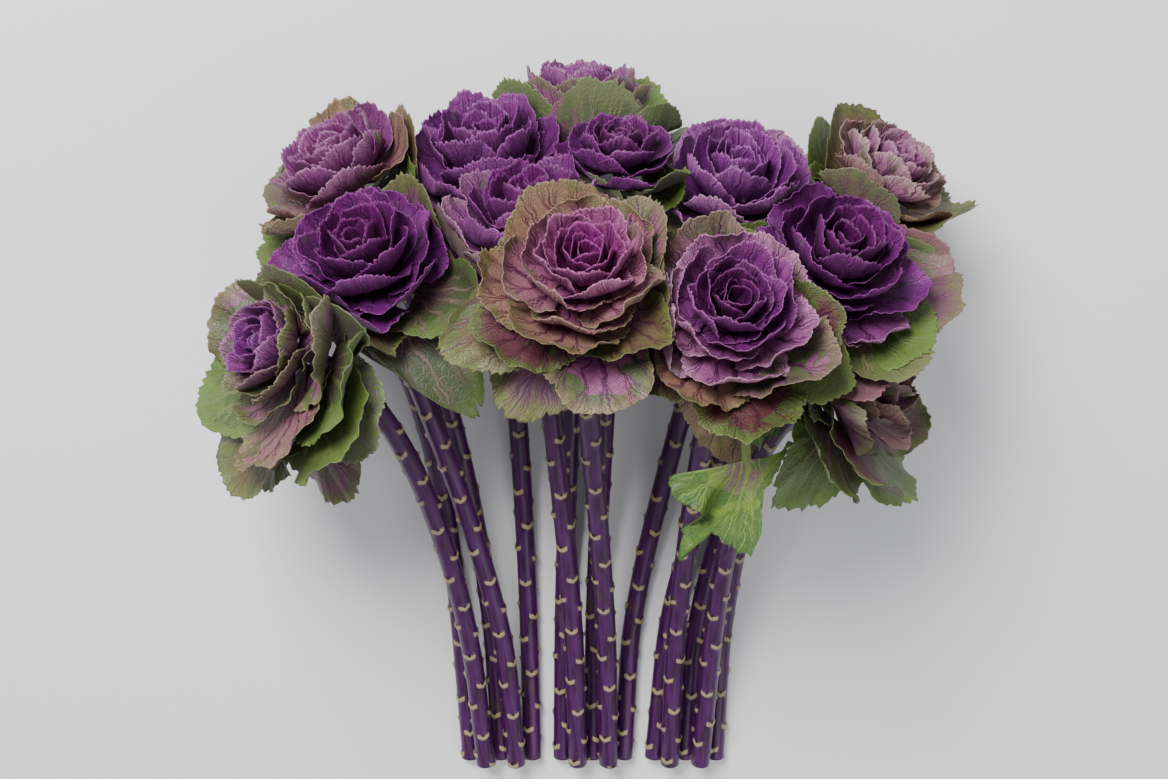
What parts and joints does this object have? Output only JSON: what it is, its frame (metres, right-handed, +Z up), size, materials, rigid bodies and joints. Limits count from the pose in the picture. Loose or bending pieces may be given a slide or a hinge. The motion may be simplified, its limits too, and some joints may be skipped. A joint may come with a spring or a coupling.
{
  "type": "bunch of cut ornamental kale",
  "caption": "Bunch of purple ornamental kale cut on long violet stems, with ruffled heads and green outer leaves, lying on its side.",
  "frame": {"origin": "centre of the bunch's plan box, on the surface that it lies on", "axes": "+Y runs along the stems from their cut ends to the heads, +X across the bunch to the right of the picture, +Z up from the surface"},
  "size_m": [0.5766, 0.628, 0.3135],
  "materials": {
    "stem": "satin violet skin with a pale bloom and tan leaf scars",
    "green_leaf": "satin leaf with pale green margins and purple veins",
    "purple_leaf": "satin leaf with darker veins and pale pink margins"
  },
  "bodies": {
    "root": {"stem_01": "stem", "outer_leaves_01": "green_leaf", "inner_leaves_01": "purple_leaf", "stem_02": "stem", "outer_leaves_02": "green_leaf", "inner_leaves_02": "purple_leaf", "stem_03": "stem", "outer_leaves_03": "green_leaf", "inner_leaves_03": "purple_leaf", "stem_04": "stem", "outer_leaves_04": "green_leaf", "inner_leaves_04": "purple_leaf", "stem_05": "stem", "outer_leaves_05": "green_leaf", "inner_leaves_05": "purple_leaf", "stem_06": "stem", "outer_leaves_06": "green_leaf", "inner_leaves_06": "purple_leaf", "stem_07": "stem", "outer_leaves_07": "green_leaf", "inner_leaves_07": "purple_leaf", "stem_08": "stem", "outer_leaves_08": "green_leaf", "inner_leaves_08": "purple_leaf", "stem_09": "stem", "outer_leaves_09": "green_leaf", "inner_leaves_09": "purple_leaf", "stem_10": "stem", "outer_leaves_10": "green_leaf", "inner_leaves_10": "purple_leaf", "stem_11": "stem", "outer_leaves_11": "green_leaf", "inner_leaves_11": "purple_leaf", "stem_12": "stem", "outer_leaves_12": "green_leaf", "inner_leaves_12": "purple_leaf", "stem_13": "stem", "outer_leaves_13": "green_leaf", "inner_leaves_13": "purple_leaf", "stem_14": "stem", "outer_leaves_14": "green_leaf", "inner_leaves_14": "purple_leaf", "stem_15": "stem", "outer_leaves_15": "green_leaf", "inner_leaves_15": "purple_leaf"}
  },
  "joints": []
}
